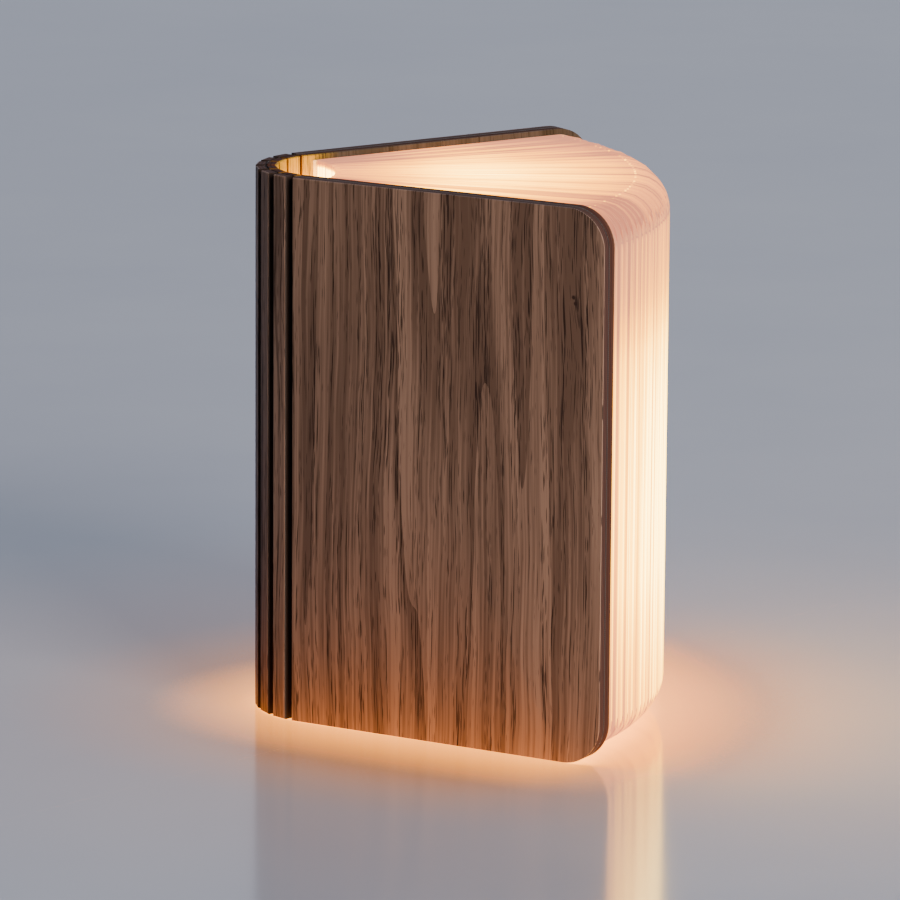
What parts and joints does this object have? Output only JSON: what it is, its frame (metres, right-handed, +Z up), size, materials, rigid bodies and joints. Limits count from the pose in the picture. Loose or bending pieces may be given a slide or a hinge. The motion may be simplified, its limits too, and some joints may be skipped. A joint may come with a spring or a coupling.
{
  "type": "folding book lamp",
  "caption": "Folding book lamp: two laminated wooden covers on a kerfed slat spine, a fan of pleated paper pages and a rechargeable light core inside.",
  "frame": {"origin": "middle of the foot of the bounding box, on the surface that the lamp stands on", "axes": "+Z up along the spine, +X from the spine to the fore-edge halfway between the covers, front cover on the -Y side"},
  "size_m": [0.091, 0.113, 0.122],
  "materials": {
    "walnut_face": "oiled walnut veneer on laminated board",
    "board_inside": "light wood laminate",
    "hinge_cloth": "woven cotton",
    "page_paper": "matt spun-fibre paper",
    "magnet": "nickel plated",
    "core_plastic": "moulded",
    "frosted_plastic": "frosted",
    "cell_foil": "laminated foil pouch",
    "wire": "insulated",
    "green_board": "solder mask",
    "white_board": "solder mask",
    "led_phosphor": "silicone over phosphor",
    "chip_resin": "moulded resin",
    "socket_steel": "tin plated"
  },
  "bodies": {
    "light_core": {"core_rail": "core_plastic", "core_diffuser": "frosted_plastic", "core_top_cap": "core_plastic", "core_bottom_cap": "core_plastic", "battery_cell": "cell_foil", "battery_leads": "wire", "control_board": "green_board", "charge_chip": "chip_resin", "magnet_sensor": "chip_resin", "charging_socket": "socket_steel", "front_led_board": "white_board", "back_led_board": "white_board", "front_leds": "led_phosphor", "back_leds": "led_phosphor", "led_leads": "wire", "hinge_cloth": "hinge_cloth", "page_leaf_4": "page_paper", "page_pleats_4": "page_paper", "page_pleats_5": "page_paper"},
    "slat_3": {"slat_3_outer": "walnut_face", "slat_3_inner": "board_inside", "page_leaf_3": "page_paper", "page_pleats_3": "page_paper"},
    "slat_2": {"slat_2_outer": "walnut_face", "slat_2_inner": "board_inside", "page_leaf_2": "page_paper", "page_pleats_2": "page_paper"},
    "slat_1": {"slat_1_outer": "walnut_face", "slat_1_inner": "board_inside", "page_leaf_1": "page_paper"},
    "front_cover": {"front_cover_outer": "walnut_face", "front_cover_inner": "board_inside", "front_cover_cloth": "hinge_cloth", "front_cover_magnets": "magnet", "trigger_magnet": "magnet", "front_end_sheet": "page_paper", "page_pleats_1": "page_paper"},
    "slat_4": {"slat_4_outer": "walnut_face", "slat_4_inner": "board_inside", "page_leaf_5": "page_paper", "page_pleats_6": "page_paper"},
    "slat_5": {"slat_5_outer": "walnut_face", "slat_5_inner": "board_inside", "page_leaf_6": "page_paper", "page_pleats_7": "page_paper"},
    "slat_6": {"slat_6_outer": "walnut_face", "slat_6_inner": "board_inside", "page_leaf_7": "page_paper"},
    "back_cover": {"back_cover_outer": "walnut_face", "back_cover_inner": "board_inside", "back_cover_cloth": "hinge_cloth", "back_cover_magnets": "magnet", "back_end_sheet": "page_paper", "page_pleats_8": "page_paper"}
  },
  "joints": [
    {"name": "book_opening", "type": "hinge", "parent": "light_core", "child": "slat_3", "pos_m": [-0.04329, 0, 0], "axis": [0, 0, -1], "range_deg": [-4.51, 21.2], "deforming": ["hinge_cloth", "page_pleats_4"]},
    {"name": "slat_3_to_slat_2", "type": "hinge", "parent": "slat_3", "child": "slat_2", "pos_m": [-0.04253, -0.00515, 0], "axis": [0, 0, -1], "range_deg": [-9.03, 42.4], "deforming": ["page_pleats_3"]},
    {"name": "slat_2_to_slat_1", "type": "hinge", "parent": "slat_2", "child": "slat_1", "pos_m": [-0.04033, -0.00986, 0], "axis": [0, 0, -1], "range_deg": [-9.03, 42.4], "deforming": ["page_pleats_2"]},
    {"name": "slat_1_to_front_cover", "type": "hinge", "parent": "slat_1", "child": "front_cover", "pos_m": [-0.03687, -0.01374, 0], "axis": [0, 0, -1], "range_deg": [-9.03, 42.4], "deforming": ["page_pleats_1"]},
    {"name": "core_to_slat_4", "type": "hinge", "parent": "light_core", "child": "slat_4", "pos_m": [-0.04329, 0, 0], "axis": [0, 0, 1], "range_deg": [-4.51, 21.2], "deforming": ["page_pleats_5"]},
    {"name": "slat_4_to_slat_5", "type": "hinge", "parent": "slat_4", "child": "slat_5", "pos_m": [-0.04253, 0.00515, 0], "axis": [0, 0, 1], "range_deg": [-9.03, 42.4], "deforming": ["page_pleats_6"]},
    {"name": "slat_5_to_slat_6", "type": "hinge", "parent": "slat_5", "child": "slat_6", "pos_m": [-0.04033, 0.00986, 0], "axis": [0, 0, 1], "range_deg": [-9.03, 42.4], "deforming": ["page_pleats_7"]},
    {"name": "slat_6_to_back_cover", "type": "hinge", "parent": "slat_6", "child": "back_cover", "pos_m": [-0.03687, 0.01374, 0], "axis": [0, 0, 1], "range_deg": [-9.03, 42.4], "deforming": ["page_pleats_8"]}
  ],
  "couplings": [
    {"joint": "slat_3_to_slat_2", "follows": "book_opening", "ratio": 2},
    {"joint": "slat_2_to_slat_1", "follows": "book_opening", "ratio": 2},
    {"joint": "slat_1_to_front_cover", "follows": "book_opening", "ratio": 2},
    {"joint": "core_to_slat_4", "follows": "book_opening", "ratio": 1},
    {"joint": "slat_4_to_slat_5", "follows": "book_opening", "ratio": 2},
    {"joint": "slat_5_to_slat_6", "follows": "book_opening", "ratio": 2},
    {"joint": "slat_6_to_back_cover", "follows": "book_opening", "ratio": 2}
  ]
}
